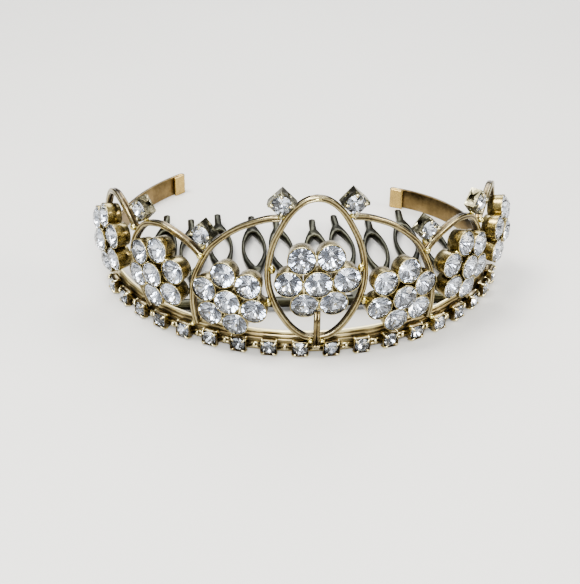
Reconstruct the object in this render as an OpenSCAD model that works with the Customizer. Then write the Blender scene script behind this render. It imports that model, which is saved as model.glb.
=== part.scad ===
// Rhinestone tiara comb: a horseshoe base band with a row of small stones,
// wire arches that carry seven flower clusters and six crest stones,
// and a flat comb of ten looped teeth across the inside of the band.
// X runs to the wearer's left, Y to the back, Z up; the band's lower edge lies on Z = 0.

/* [Base band] */
// Radius of the circle on which the base stones stand
stone_r = 57.1; // [52:0.1:64]
// Thickness of the band's strip
band_t = 0.8; // [0.6:0.05:1.2]
// Height of the band
band_h = 6.1; // [5.4:0.1:6.2]
// Depth of the reeds on the band's front
reed_depth = 0.3; // [0.1:0.05:0.5]
// Number of reeds on the band's front
reed_count = 4; // [2:1:6]
// Angle from the front at which the plain arms begin
arm_a = 76; // [74:1:80]
// Bending radius of the left arm
arm_left_r = 54.5; // [45:0.5:60]
// Bending radius of the right arm, which is bent in
arm_right_r = 36; // [34:0.5:60]
// Turn of the left arm from its start to its tip
arm_left_turn = 65; // [40:1:66]
// Turn of the right arm from its start to its tip
arm_right_turn = 82; // [40:1:84]
// Length of the folded hem at each tip
hem_l = 3.4; // [2:0.1:6]
// Space left between the two layers of a hem
hem_space = 0.4; // [0.2:0.05:0.8]

/* [Base stones] */
// Spacing of the base stones along their circle
base_pitch = 8; // [7.6:0.05:8.4]
// Base stones on each side of the centre
base_per_side = 9; // [6:1:9]
// Diameter of a base stone
base_stone_d = 3.7; // [3:0.1:3.9]
// Width of a square base setting
base_box = 4.4; // [4.3:0.05:4.8]
// Depth of a base setting from rim to back
base_box_depth = 2.25; // [1.8:0.05:2.3]
// Radius of the link bars between the base settings
link_r = 0.5; // [0.3:0.05:0.7]
// How far the small ball on each link stands out from its bar
link_ball = 0.3; // [0.1:0.05:0.4]

/* [Wire arches] */
// Inward lean of the wires from the vertical
lean = 6.1; // [0:0.1:12]
// Width of the wires as seen from the front
wire_w = 1.5; // [1.1:0.05:1.7]
// Depth of the wires from front to back
wire_depth = 1.95; // [1.5:0.05:2.4]
// Height of the centre loop above the base stones' centres
loop_top = 40.1; // [38:0.1:44]
// Height of the centre loop's lower end above the base stones' centres
loop_foot = 3; // [2.95:0.05:3.4]
// Half width of the centre loop, measured along the base stones' circle
loop_a = 12.76; // [12.6:0.02:13.1]
// How far inside the loop's widest point the first arch meets it
arch_1_join = 2.99; // [2.4:0.01:3.2]
// How far the first arch reaches beyond its flower
arch_1_reach = 1.46; // [1.1:0.02:1.7]
// Height of the first arch
arch_1_top = 35.2; // [34:0.1:35.6]
// How far inside the first arch's outermost point the second arch meets it
arch_2_join = 1.9; // [1.4:0.02:2]
// How far the second arch reaches beyond its flower
arch_2_reach = 3.06; // [2.7:0.02:3.4]
// Height of the second arch
arch_2_top = 26.6; // [26:0.1:27]
// How far inside the second arch's outermost point the third arch meets it
arch_3_join = 0.4; // [0:0.02:0.6]
// How far the third arch reaches beyond its flower
arch_3_reach = 2.56; // [1.6:0.02:3.6]
// Height of the third arch
arch_3_top = 26.5; // [26:0.1:28]

/* [Flowers] */
// How far the flowers' outer rims stand in front of the wires
flower_out = 2.6; // [2.2:0.05:3.4]
// Ring radius of the centre flower's stones
centre_ring = 7.24; // [7.1:0.02:7.5]
// Ring radius of the side flowers' stones
side_ring = 6.84; // [6.6:0.02:6.9]
// How far the middle stone stands in front of its ring
dome = 1.25; // [0.6:0.05:2]
// Outward tilt of the ring stones, in degrees
ring_tilt = 8; // [4:1:14]
// Depth of a flower's cups
cup_depth = 4.2; // [3.6:0.1:4.4]
// Thickness of a cup's wall at its rim
cup_wall = 0.4; // [0.36:0.02:0.5]
// Gap between the rims of neighbouring flower cups
cup_gap = 0.12; // [0.1:0.02:0.2]
// Radius of the solder bars between the flower cups
solder_r = 0.5; // [0.4:0.05:0.6]
// How far the first side flower's edge lies beyond the first arch's joint
flower_1_a = 1.86; // [1.8:0.02:2]
// How far the second side flower's edge lies beyond the second arch's joint
flower_2_a = 1.76; // [1.6:0.02:2]
// How far the third side flower's edge lies beyond the third arch's joint
flower_3_a = 0.86; // [0.8:0.02:1.4]

/* [Crest stones] */
// Width of a square crest setting
crest_box = 5; // [4.9:0.05:5.4]
// Depth of a crest setting from rim to back
crest_depth = 2.9; // [2.6:0.1:4.4]
// Diameter of a crest stone
crest_stone_d = 4.5; // [3.8:0.05:4.6]
// How far the crest stones' rims stand in front of the wires
crest_out = 2.6; // [2:0.1:3]

/* [Centre post] */
// Radius of the two post wires
post_r = 0.45; // [0.35:0.05:0.6]
// Radius of the balls at the post's foot
post_ball_r = 0.62; // [0.5:0.02:0.7]

/* [Comb] */
// Number of teeth
teeth = 10; // [8:1:10]
// Spacing of the teeth
tooth_pitch = 8.8; // [8:0.1:9]
// Width of a tooth's loop
loop_w = 7.2; // [5.5:0.1:7.6]
// Thickness of the comb
comb_t = 1.6; // [1:0.1:2.2]
// Height of the comb's underside above the band's lower edge
comb_z = 1.5; // [0.5:0.1:3]
// Width of a tooth's stem and tip
stem_w = 1.9; // [1.4:0.1:2.6]
// Width of the comb's bar
bar_w = 3; // [2:0.1:4]
// Distance of the bar's middle behind the base stones' front
bar_y = 24; // [22:0.5:27]
// Distance from the bar's middle to the near point of the loops
stem_l = 15.5; // [13:0.5:17]
// Length of a tooth's loop
loop_l = 32; // [28:0.5:33]
// Length of the open eye in a loop
eye_l = 21.5; // [18:0.5:23]
// Width of a loop's side walls
loop_wall = 0.95; // [0.7:0.05:1.4]
// Length of a tooth from the bar's middle to its tip
tooth_l = 52; // [50:0.5:55]

/* [Fits] */
// Smallest gap between two pieces
gap = 0.1; // [0.1:0.01:0.13]

/* [Hidden] */
// Angle of a length laid along the base stones' circle
deg_per_mm = 180 / (PI * stone_r);
pitch_a = base_pitch * deg_per_mm;
// Height of the base stones' centres, with the settings clear of the surface below
stone_z = base_box / 2 + gap;
// How far the base settings' rims stand in front of the circle
base_rim = -gap;
rail_proud = reed_depth / 3;
// Radius of the band's reeded front face, behind the wires' feet and the settings
band_r = stone_r - rail_proud - 2 * gap
    - max(base_box_depth - base_rim, wire_depth + (band_h - stone_z) * tan(lean));
bore_steps = 48;

// Half outline of the centre loop from top to foot.
// Columns: across (share of the half width), up (share of the height)
loop_shape = [[0, 1], [0.2, 0.987], [0.4, 0.945], [0.58, 0.88], [0.74, 0.79], [0.88, 0.69],
    [0.965, 0.58], [1, 0.47], [0.975, 0.37], [0.87, 0.265], [0.7, 0.165], [0.5, 0.08],
    [0.26, 0.02], [0, 0]];
// First arch from its joint with the centre loop down to its foot on the band.
// Columns: across (share from joint to reach), up (share of the top height)
arch_1_shape = [[0, 0.99], [0.15, 0.975], [0.34, 0.93], [0.5, 0.875], [0.66, 0.795],
    [0.8, 0.7], [0.91, 0.57], [0.985, 0.44], [1, 0.31], [0.975, 0.185], [0.93, 0.09]];
// Second and third arch from their joint with the arch before, over the top, down to
// their foot. Columns as above
arch_outer_shape = [[0, 0.83], [0.1, 0.895], [0.22, 0.945], [0.4, 0.99], [0.58, 0.995],
    [0.79, 0.93], [0.93, 0.79], [0.995, 0.65], [1, 0.52], [0.94, 0.41], [0.79, 0.26],
    [0.69, 0.16], [0.63, 0.11]];
// Half width of a side flower
flower_half = side_ring + (side_ring - cup_gap) / 2;
// Places from the centre outwards along the base stones' circle: each arch's joint with
// what comes before it, its flower and its outermost point
join_1 = loop_a - arch_1_join;
flower_1 = join_1 + flower_1_a + flower_half;
reach_1 = flower_1 + flower_half + arch_1_reach;
join_2 = reach_1 - arch_2_join;
flower_2 = join_2 + flower_2_a + flower_half;
reach_2 = flower_2 + flower_half + arch_2_reach;
join_3 = reach_2 - arch_3_join;
flower_3 = join_3 + flower_3_a + flower_half;
reach_3 = flower_3 + flower_half + arch_3_reach;
// The loop and the arches. Columns: joint, outermost point, height
wire_rows = [[0, loop_a, loop_top], [join_1, reach_1, arch_1_top], [join_2, reach_2, arch_2_top],
    [join_3, reach_3, arch_3_top]];
// Flowers beside the centre. Columns: place along the circle, height (share of the arch's),
// turn of the ring
flower_rows = [[flower_1, 0.382, 17], [flower_2, 0.56, 38], [flower_3, 0.555, 30]];
centre_flower_h = loop_top * 0.496;
centre_flower_turn = 4;
// Crest stones, one each on the loop, the first and the second arch.
// Columns: across (share from joint to outermost point), up (share of the height)
crest_rows = [[0.719, 0.99], [0.84, 0.832], [0.739, 1.128]];
// Teeth from right to left of the view. Columns: sideways bend of the tip,
// shortfall of the tip, both as shares of the tooth pitch
tooth_bends = [[0.11, 0.05], [-0.07, 0.4], [-0.16, 0.05], [0, 0.25], [-0.19, 0.4],
    [0.08, 0.6], [-0.16, 0.3], [0, 0.6], [0.15, 0], [0.02, 0.5]];

// Crown height of a flower stone and how far its girdle lies below the rim, as shares of the ring
crown_share = 0.13;
stone_sink = 0.045;
// Half the depth of the whole piece, from the middle stone's face to the left arm's tip
front_reach = flower_out + dome + centre_ring * (crown_share - stone_sink) - centre_flower_h * sin(lean);
fold_r = band_t + hem_space / 2;
left_tip_a = arm_a + arm_left_turn - fold_r / arm_left_r * 180 / PI;
tip_y = stone_r - (band_r - arm_left_r) * cos(arm_a) - (arm_left_r - fold_r) * cos(left_tip_a)
    + fold_r + rail_proud;
centre_y = (tip_y - front_reach) / 2;

// Directions at an angle from the front: outwards, along the band, and up the leaning wires
function outward(a) = [sin(a), -cos(a), 0];
function face(a) = outward(a) * cos(lean) + [0, 0, sin(lean)];
// Point at angle a, height h up the leaning surface and d in front of it
function at(a, h, d) = let (r = stone_r + d - h * sin(lean))
    [r * sin(a), stone_r - r * cos(a), stone_z + h * cos(lean)];
function unit(v) = v / norm(v);
// Smooth curve through a list of points, with n steps between neighbours
function blend(p, q, r, s, t) = q + t * (r - p) / 2
    + t * t * (2 * p - 5 * q + 4 * r - s) / 2 + t * t * t * (3 * q - p - 3 * r + s) / 2;
function smooth(p, n) = let (m = len(p) - 1) concat(
    [for (i = [0 : m - 1]) for (k = [0 : n - 1])
        blend(p[max(i - 1, 0)], p[i], p[i + 1], p[min(i + 2, m)], k / n)], [p[m]]);

// Moves what lies in the band's own frame so that the whole piece is centred on the origin
module centred() translate([0, -centre_y, 0]) children();
// Stands a shape on the leaning wires: its Z points outwards, its Y up
module stand(a, h, d) translate(at(a, h, d)) rotate([90, 0, a]) children();
// The left side is the right side's mirror image
module left() mirror([1, 0, 0]) children();

// Cut stone with its girdle at z = 0: a flat table, a crown of facets and a pointed back
module cut_stone(d, crown, pavilion) {
    sides = 8;
    girdle_t = d * 0.03;
    table_share = 0.56;
    table = [for (i = [0 : sides - 1]) let (t = (i + 0.5) * 360 / sides)
        [d / 2 * table_share * cos(t), d / 2 * table_share * sin(t), crown]];
    rim = [for (z = [0, -girdle_t]) for (i = [0 : 2 * sides - 1]) let (t = i * 180 / sides)
        [d / 2 * cos(t), d / 2 * sin(t), z]];
    culet = [[0, 0, -girdle_t - pavilion]];
    n = 2 * sides;
    faces = concat([[for (i = [sides - 1 : -1 : 0]) i]],
        [for (i = [0 : sides - 1]) [i, (i + 1) % sides, sides + (2 * i + 2) % n]],
        [for (i = [0 : sides - 1]) [i, sides + (2 * i + 2) % n, sides + 2 * i + 1]],
        [for (i = [0 : sides - 1]) [i, sides + 2 * i + 1, sides + 2 * i]],
        [for (i = [0 : n - 1]) [sides + i, sides + (i + 1) % n, sides + n + (i + 1) % n]],
        [for (i = [0 : n - 1]) [sides + i, sides + n + (i + 1) % n, sides + n + i]],
        [for (i = [0 : n - 1]) [sides + n + i, sides + n + (i + 1) % n, sides + 2 * n]]);
    polyhedron(concat(table, rim, culet), faces);
}

// Flat wire carried along a path of [angle, height] points, its front on the leaning surface
module wire(path, closed = false) {
    w = wire_w / 2;
    c = wire_w * 0.25;
    // Section corners. Columns: across the wire, towards the front
    section = [[w, -c], [w - c, 0], [c - w, 0], [-w, -c], [-w, c - wire_depth],
        [c - w, -wire_depth], [w - c, -wire_depth], [w, c - wire_depth]];
    m = len(path);
    n = len(section);
    spots = [for (p = path) at(p[0], p[1], 0)];
    function before(i) = closed ? spots[(i + m - 1) % m] : spots[max(i - 1, 0)];
    function after(i) = closed ? spots[(i + 1) % m] : spots[min(i + 1, m - 1)];
    points = [for (i = [0 : m - 1]) let (run = unit(after(i) - before(i)), f = face(path[i][0]),
        side = unit(cross(run, f))) for (s = section) spots[i] + side * s[0] + f * s[1]];
    rings = closed ? m : m - 1;
    sides = [for (i = [0 : rings - 1]) for (j = [0 : n - 1])
        [i * n + j, i * n + (j + 1) % n, (i + 1) % m * n + (j + 1) % n, (i + 1) % m * n + j]];
    caps = closed ? [] : [[for (j = [n - 1 : -1 : 0]) j], [for (j = [0 : n - 1]) (m - 1) * n + j]];
    polyhedron(points, concat(sides, caps));
}

// Angle at a share of the way from the joint of wire i to its outermost point
function on_wire(i, share) = (wire_rows[i][0] + share * (wire_rows[i][1] - wire_rows[i][0])) * deg_per_mm;

// Cross-section of the base band: a flat back and a reeded front below a plain rail.
// Columns: outwards from the band's face, up
function band_section() = let (rail = band_h * 0.2, reed = (band_h - rail) / reed_count) concat(
    [[-band_t, 0]],
    [for (i = [0 : reed_count - 1]) each
        [[-reed_depth, i * reed], [0, (i + 0.35) * reed], [0, (i + 0.65) * reed]]],
    [[-reed_depth, band_h - rail], [rail_proud, band_h - rail * 0.8], [rail_proud, band_h], [-band_t, band_h]]);

// Stations of an arm's face line, to the folded tip and back along its hem.
// Columns: place in plan, direction in which the face looks
function arm_stations(r, turn) = let (fold_a = fold_r / r * 180 / PI, hem_a = hem_l / r * 180 / PI,
    centre = (band_r - r) * outward(arm_a), tip_a = arm_a + turn - fold_a,
    steps = ceil(turn / 5), pivot = centre + (r - fold_r) * outward(tip_a)) concat(
    [for (i = [1 : steps]) let (a = arm_a + i * (tip_a - arm_a) / steps) [centre + r * outward(a), a]],
    [for (u = [30 : 30 : 180]) [pivot + fold_r * outward(tip_a + u), tip_a + u]],
    [for (k = [0.5, 1]) let (a = tip_a - k * hem_a) [centre + (r - 2 * fold_r) * outward(a), a + 180]]);

// The band as one strip that bends round the front and along both arms
module base_band() color("#8a6f48") centred() {
    right = arm_stations(arm_right_r, arm_right_turn);
    left = arm_stations(arm_left_r, arm_left_turn);
    front = [for (a = [-arm_a : arm_a / 20 : arm_a + 0.01]) [band_r * outward(a), a]];
    stations = concat([for (i = [len(left) - 1 : -1 : 0]) let (s = left[i])
        [[-s[0][0], s[0][1], 0], -s[1]]], front, right);
    section = band_section();
    n = len(section);
    m = len(stations);
    points = [for (s = stations) for (q = section)
        [0, stone_r, q[1]] + s[0] + q[0] * outward(s[1])];
    sides = [for (i = [0 : m - 2]) for (j = [0 : n - 1])
        [i * n + j, i * n + (j + 1) % n, (i + 1) * n + (j + 1) % n, (i + 1) * n + j]];
    polyhedron(points, concat(sides, [[for (j = [n - 1 : -1 : 0]) j], [for (j = [0 : n - 1]) (m - 1) * n + j]]));
}

// Hollow that a stone sits in: straight for rim below z = 0, then narrowing down to depth
module seat(r, rim, depth) rotate_extrude($fn = bore_steps)
    polygon([[0, -depth], [r * 0.3, -depth], [r, -rim], [r, r], [0, r]]);

// Square setting with its rim at z = 0: a box with a round seat and four corner prongs
module square_setting(box, depth, stone_d, prong_r) {
    corner = stone_d / 2 + 1.5 * gap + prong_r;
    difference() {
        translate([-box / 2, -box / 2, -depth]) cube([box, box, depth]);
        seat(stone_d / 2 + gap, stone_d * 0.16, depth * 0.8);
    }
    for (t = [45 : 90 : 315]) rotate([0, 0, t]) translate([corner, 0, -depth / 2])
        cylinder(h = depth / 2 + stone_d * 0.16, r = prong_r, $fn = 24);
}

// Link bar along Z with a small ball round its middle
module link_bar(l) {
    ball_r = link_r + link_ball;
    edge = acos(link_r / ball_r);
    ball = [for (k = [-3 : 3]) [ball_r * cos(k * edge / 3), ball_r * sin(k * edge / 3)]];
    rotate_extrude($fn = 24) polygon(concat([[0, -l / 2], [link_r, -l / 2]], ball, [[link_r, l / 2], [0, l / 2]]));
}

module on_base(i) stand((i + 0.5) * pitch_a, 0, base_rim) children();

module base_settings() color("#a89468") centred()
    for (i = [-base_per_side : base_per_side - 1]) {
        on_base(i) square_setting(base_box, base_box_depth, base_stone_d, base_stone_d * 0.1);
        if (i < base_per_side - 1)
            stand((i + 1) * pitch_a, 0, base_rim - base_box_depth * 0.6)
                rotate([0, 90, 0]) link_bar(base_pitch - base_box * 0.9);
    }

module base_stones() color("#dfe6ee") centred()
    for (i = [-base_per_side : base_per_side - 1])
        on_base(i) translate([0, 0, -base_stone_d * 0.08])
            cut_stone(base_stone_d, base_stone_d * 0.15, base_stone_d * 0.26);

module centre_loop() color("#b9a883") centred() {
    half = smooth(loop_shape, 2);
    m = len(half) - 1;
    round_trip = concat(half, [for (i = [m - 1 : -1 : 1]) [-half[i][0], half[i][1]]]);
    wire([for (p = round_trip) [p[0] * loop_a * deg_per_mm, loop_foot + p[1] * (loop_top - loop_foot)]], true);
}

module arch(i) color("#b9a883")
    wire([for (p = smooth(i == 1 ? arch_1_shape : arch_outer_shape, 2))
        [on_wire(i, p[0]), p[1] * wire_rows[i][2]]]);

// Places its children at each stone of a flower: one in the middle and six round it
module flower_spots(ring, turn) {
    translate([0, 0, dome]) children();
    for (k = [0 : 5]) rotate([0, 0, turn + 60 * k]) translate([ring, 0, 0])
        rotate([0, ring_tilt, 0]) children();
}

// Solder that joins the cups of one cluster: a short bar across each gap, behind the rims
module cup_solder(ring, turn) {
    back = cup_depth * 0.28;
    near = ring - back * sin(ring_tilt);
    for (k = [0 : 5]) rotate([0, 0, turn + 60 * k]) {
        translate([near / 2, 0, -back]) rotate([0, 90, 0])
            cylinder(h = 2 * solder_r, r = solder_r, center = true, $fn = 24);
        rotate([0, 0, 30]) translate([near * cos(30), 0, -back]) rotate([90, 0, 0])
            cylinder(h = 2 * solder_r, r = solder_r, center = true, $fn = 24);
    }
}

// Seven deep tapered cups soldered into one cluster, each with a conical seat for its stone
module cups(ring, turn) {
    rim_r = (ring - cup_gap) / 2;
    difference() {
        union() {
            flower_spots(ring, turn) translate([0, 0, -cup_depth])
                cylinder(h = cup_depth, r1 = rim_r - cup_depth * sin(ring_tilt) / 2, r2 = rim_r, $fn = bore_steps);
            cup_solder(ring, turn);
        }
        flower_spots(ring, turn) seat(ring / 2 - cup_wall, ring * 0.1, cup_depth * 0.8);
    }
}

// The seven stones that sit in such a cluster, a small gap inside their seats
module flower_stones(ring, turn) flower_spots(ring, turn) translate([0, 0, -ring * stone_sink])
    cut_stone(ring - 2 * (cup_wall + gap), ring * crown_share, ring * 0.3);

module cups_centre() color("#8f7a48") stand(0, centre_flower_h, flower_out)
    cups(centre_ring, centre_flower_turn);
module stones_centre() color("#e6ebf2") stand(0, centre_flower_h, flower_out)
    flower_stones(centre_ring, centre_flower_turn);
// Places its children on side flower i, counted from the centre
module beside(i) let (row = flower_rows[i - 1])
    stand(row[0] * deg_per_mm, row[1] * wire_rows[i][2], flower_out) children();
module cups_beside(i) color("#8f7a48") beside(i) cups(side_ring, flower_rows[i - 1][2]);
module stones_beside(i) color("#e6ebf2") beside(i) flower_stones(side_ring, flower_rows[i - 1][2]);

// Places its children on crest i, counted from the centre
module on_crest(i) let (row = crest_rows[i - 1])
    stand(on_wire(i - 1, row[0]), row[1] * wire_rows[i - 1][2], crest_out) children();
// Crest setting, turned corner up, with a round window cut through each pair of sides
module crest_setting(i) color("#9c8f6c") on_crest(i) rotate([0, 0, 45]) difference() {
    square_setting(crest_box, crest_depth, crest_stone_d, crest_stone_d * 0.1);
    for (t = [0, 90]) rotate([0, 0, t]) translate([0, 0, -crest_depth * 0.62]) rotate([90, 0, 0])
        cylinder(h = 2 * crest_box, r = crest_depth * 0.24, center = true, $fn = bore_steps);
}
module crest_stone(i) color("#e6ebf2") on_crest(i) translate([0, 0, -crest_stone_d * 0.08])
    cut_stone(crest_stone_d, crest_stone_d * 0.15, crest_stone_d * 0.26);

// Two thin wires side by side that carry the centre flower, ending in two small balls
module centre_post() color("#b9a883") centred() {
    top_h = centre_flower_h - centre_ring * (sin(60) + 0.5);
    foot_h = base_box * 0.32;
    for (s = [-1, 1]) translate([s * post_r * 0.9, -post_r - gap, 0]) {
        translate([0, 0, stone_z + foot_h]) cylinder(h = top_h - foot_h, r = post_r, $fn = 24);
        translate([0, 0, stone_z + foot_h]) sphere(r = post_ball_r, $fn = 32);
    }
}

// Pointed oval between two equal circles, of length l along Y from its near point
module pointed_oval(l, w) {
    r = (l * l / 4 + w * w / 4) / w;
    translate([0, l / 2]) intersection() {
        translate([r - w / 2, 0]) circle(r = r, $fn = 180);
        translate([w / 2 - r, 0]) circle(r = r, $fn = 180);
    }
}

module tooth(tip_turn, tip_short) {
    eye_w = loop_w - 2 * loop_wall;
    rotate([0, 0, tip_turn]) linear_extrude(comb_t) difference() {
        union() {
            translate([-stem_w / 2, 0]) square([stem_w, tooth_l - tip_short - stem_w / 2]);
            translate([0, tooth_l - tip_short - stem_w / 2]) circle(r = stem_w / 2, $fn = 32);
            translate([0, stem_l - tip_short]) pointed_oval(loop_l, loop_w);
        }
        translate([0, stem_l - tip_short + (loop_l - eye_l) / 2]) pointed_oval(eye_l, eye_w);
    }
}

module comb() color("#75736a") centred() translate([0, 0, comb_z]) {
    intersection() {
        translate([-stone_r, bar_y - bar_w / 2, 0]) cube([2 * stone_r, bar_w, comb_t]);
        translate([0, stone_r, 0])
            cylinder(h = comb_t, r = band_r - band_t - 1.5 * gap, $fn = 180);
    }
    for (i = [0 : teeth - 1]) {
        bend = tooth_bends[i] * tooth_pitch;
        translate([(i - (teeth - 1) / 2) * tooth_pitch, bar_y, 0])
            tooth(-atan(bend[0] / tooth_l), bend[1]);
    }
}

base_band();
base_settings();
base_stones();
centre_loop();
centred() arch(1);  // arch_right_1
centred() arch(2);  // arch_right_2
centred() arch(3);  // arch_right_3
centred() left() arch(1);  // arch_left_1
centred() left() arch(2);  // arch_left_2
centred() left() arch(3);  // arch_left_3
centred() cups_centre();  // flower_cups_centre
centred() cups_beside(1);  // flower_cups_right_1
centred() cups_beside(2);  // flower_cups_right_2
centred() cups_beside(3);  // flower_cups_right_3
centred() left() cups_beside(1);  // flower_cups_left_1
centred() left() cups_beside(2);  // flower_cups_left_2
centred() left() cups_beside(3);  // flower_cups_left_3
centred() stones_centre();  // flower_stones_centre
centred() stones_beside(1);  // flower_stones_right_1
centred() stones_beside(2);  // flower_stones_right_2
centred() stones_beside(3);  // flower_stones_right_3
centred() left() stones_beside(1);  // flower_stones_left_1
centred() left() stones_beside(2);  // flower_stones_left_2
centred() left() stones_beside(3);  // flower_stones_left_3
centred() crest_setting(1);  // crest_setting_right_1
centred() crest_setting(2);  // crest_setting_right_2
centred() crest_setting(3);  // crest_setting_right_3
centred() left() crest_setting(1);  // crest_setting_left_1
centred() left() crest_setting(2);  // crest_setting_left_2
centred() left() crest_setting(3);  // crest_setting_left_3
centred() crest_stone(1);  // crest_stone_right_1
centred() crest_stone(2);  // crest_stone_right_2
centred() crest_stone(3);  // crest_stone_right_3
centred() left() crest_stone(1);  // crest_stone_left_1
centred() left() crest_stone(2);  // crest_stone_left_2
centred() left() crest_stone(3);  // crest_stone_left_3
centre_post();
comb();
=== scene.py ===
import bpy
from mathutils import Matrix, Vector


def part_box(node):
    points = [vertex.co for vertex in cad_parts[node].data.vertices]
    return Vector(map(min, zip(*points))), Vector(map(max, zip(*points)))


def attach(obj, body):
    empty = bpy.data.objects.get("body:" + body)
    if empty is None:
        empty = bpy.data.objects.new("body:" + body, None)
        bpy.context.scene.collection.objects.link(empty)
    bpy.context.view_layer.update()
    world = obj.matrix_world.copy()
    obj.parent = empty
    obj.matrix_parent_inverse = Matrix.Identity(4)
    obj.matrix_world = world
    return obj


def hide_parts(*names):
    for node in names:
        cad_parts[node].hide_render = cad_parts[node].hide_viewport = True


bl_info = {
    "name": "Tiara comb",
    "version": (1, 0, 0),
    "blender": (4, 5, 0),
    "location": "View3D > Sidebar > Tiara",
    "description": "Dresses a rhinestone tiara comb: gilt wires, cup flowers, set stones and a looped comb",
    "category": "Object",
}

import math
import bpy
import numpy as np
from bpy.props import FloatProperty, FloatVectorProperty, IntProperty, PointerProperty
from mathutils import Matrix, Vector

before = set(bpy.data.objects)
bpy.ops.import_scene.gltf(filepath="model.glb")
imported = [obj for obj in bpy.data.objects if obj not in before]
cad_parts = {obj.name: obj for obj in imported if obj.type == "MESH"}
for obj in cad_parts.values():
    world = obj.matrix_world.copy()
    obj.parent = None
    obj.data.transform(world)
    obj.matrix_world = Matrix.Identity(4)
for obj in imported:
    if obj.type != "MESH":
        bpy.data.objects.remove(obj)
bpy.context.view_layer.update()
MM = 0.001
SIDES = ("right", "left")

# Half outline of the centre loop from top to foot.
# Columns: across (share of the half width), up (share of the height)
LOOP_SHAPE = np.array([(0, 1), (0.2, 0.987), (0.4, 0.945), (0.58, 0.88), (0.74, 0.79), (0.88, 0.69),
    (0.965, 0.58), (1, 0.47), (0.975, 0.37), (0.87, 0.265), (0.7, 0.165), (0.5, 0.08), (0.26, 0.02), (0, 0)])
# First arch from the loop down to the band. Columns: across (joint to reach), up (share of its top)
ARCH_1_SHAPE = np.array([(0, 0.99), (0.15, 0.975), (0.34, 0.93), (0.5, 0.875), (0.66, 0.795), (0.8, 0.7),
    (0.91, 0.57), (0.985, 0.44), (1, 0.31), (0.975, 0.185), (0.93, 0.09)])
# Second and third arch, columns as above
ARCH_OUTER_SHAPE = np.array([(0, 0.83), (0.1, 0.895), (0.22, 0.945), (0.4, 0.99), (0.58, 0.995), (0.79, 0.93),
    (0.93, 0.79), (0.995, 0.65), (1, 0.52), (0.94, 0.41), (0.79, 0.26), (0.69, 0.16), (0.63, 0.11)])
# Arches. Columns: shape, joint angle, outermost angle, height in mm
ARCHES = ((ARCH_1_SHAPE, 9.8, 33.6, 35.2), (ARCH_OUTER_SHAPE, 31.7, 57.0, 26.6), (ARCH_OUTER_SHAPE, 56.6, 80.5, 26.5))
# Flowers. Columns: node ending, angle, height in mm, turn of the ring in degrees
FLOWERS = (("centre", 0.0, 19.9, 4.0), ("1", 21.9, 13.45, 17.0), ("2", 43.7, 14.9, 38.0), ("3", 67.7, 14.7, 30.0))
# Crest stones. Columns: angle, height in mm
CRESTS = ((9.2, 39.7), (29.8, 29.3), (50.4, 30.0))
# Drops of solder on both sides. Columns: angle, height and distance out in mm, half width, half height
SOLDER = ((0, 39.9, -0.7, 1.2, 0.55), (9.4, 35.5, -0.2, 0.95, 0.8), (30.4, 25.2, 0.2, 0.8, 1.0),
    (50.6, 26.7, 0.1, 0.9, 0.8), (11.6, 21.5, -0.3, 0.9, 1.2), (12.3, 13.0, 0.4, 0.8, 1.1),
    (31.3, 22.2, 0.1, 0.95, 0.85), (56.2, 22.2, 0.1, 0.95, 0.85), (33.0, 3.0, -0.2, 0.8, 0.6),
    (54.8, 16.5, 0.3, 0.8, 0.7), (1.4, 2.7, 0.2, 0.8, 0.5), (0, 12.6, 1.3, 0.8, 0.8))
BASE_STONES = 18
# Stations along an arm, round its tip's bend and along its hem, and those over which the hem's gilt fades in
ARM_STEPS, BEND_STEPS, HEM_STEPS, FADE_STEPS = 44, 10, 6, 3
# Painted reflection: the tone of a facet of the foil that crisp leaves as it is
MIDDLE_TONE = 0.35
# Platings. Columns: material, colours from dark to light, roughness, size of the blotches in mm, mottle,
# dents, scratches, whether the per-vertex attribute of rubbing, painted highlights and painted shade shows
PLATINGS = {
    # Brass wire, drawn and gilded: smooth and pale where rubbed, brown in its grooves
    # Smooth gilded drawn brass wire: a painted highlight on its front, painted shade on its back and in its grooves
    "wire": ("gilt_drawn_wire", ("groove_shade", "wire_deep", "wire_light"), 0.2, 9, 0.18, 0.5, 0.08, True),
    # Stamped brass cups in yellow gilt, brightest on the rim, with painted shade inside and towards the back
    "cup": ("gilt_stamped_brass", ("groove_shade", "cup_deep", "cup_light"), 0.25, 5, 0.1, 0.12, 0.08, True),
    # Drops of yellow brass solder, melted smooth and bright
    "solder": ("brass_solder", ("wire_deep", "cup_deep", "solder"), 0.16, 2, 0.1, 0.3, 0.06, True),
    # Stamped square settings, thinly gilded and darkened with age, polished on the claws,
    # with painted shade towards their backs and inside their hollows
    "setting": ("aged_gilt_setting", ("groove_shade", "wire_deep", "cup_light"), 0.2, 4, 0.14, 0.3, 0.1, True),
    # Rolled reeded brass strip, its gilt worn brown in places, with painted shade in its reeds' grooves and low on its
    # back
    "band": ("gilt_rolled_strip", ("groove_shade", "band_deep", "band_light"), 0.33, 12, 0.05, 0.3, 0.1, True),
    # Folded tips of the strip, where the yellow gilt is whole
    "hem": ("whole_yellow_gilt", ("groove_shade", "band_deep", "hem"), 0.24, 3, 0.1, 0.4, 0.1, True),
    # Cast settings with a grey-green, worn silver plating
    "silver": ("worn_silver_plate", ("silver_deep", "silver_deep", "silver_light"), 0.26, 3, 0.1, 0.25, 0.15, False),
    # Stamped steel comb under a dull, olive-grey plating
    "comb": ("dull_nickel_plate", ("comb_deep", "comb_deep", "comb_light"), 0.32, 14, 0.08, 0.3, 0.15, False),
}
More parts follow.
